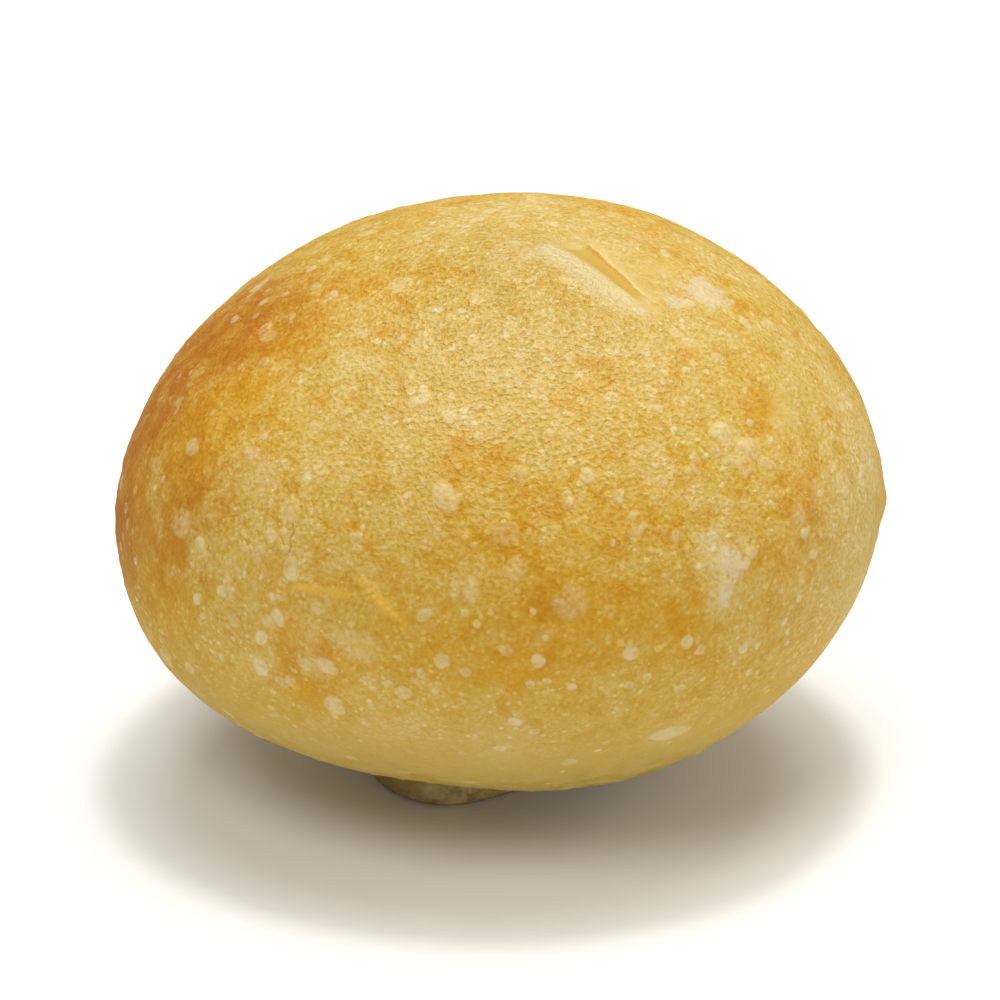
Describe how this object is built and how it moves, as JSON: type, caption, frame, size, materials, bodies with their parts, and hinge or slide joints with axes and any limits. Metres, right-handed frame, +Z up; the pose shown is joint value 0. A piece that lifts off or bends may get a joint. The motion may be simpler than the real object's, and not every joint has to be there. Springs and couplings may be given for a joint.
{
  "type": "sourdough roll",
  "caption": "Plump, slightly lopsided round sourdough roll with a pale golden blistered crust, a torn groove over the crown and a short flat-bottomed foot to rest on.",
  "frame": {"origin": "on the ground plane, at the bottom centre of the roll's box", "axes": "+Z up through the crown, +X along the roll's longer way, -Y out of the side shown"},
  "size_m": [0.072, 0.068, 0.0555],
  "materials": {
    "crust": "golden baked crust, satin on the crown"
  },
  "bodies": {
    "root": {"roll": "crust"}
  },
  "joints": []
}
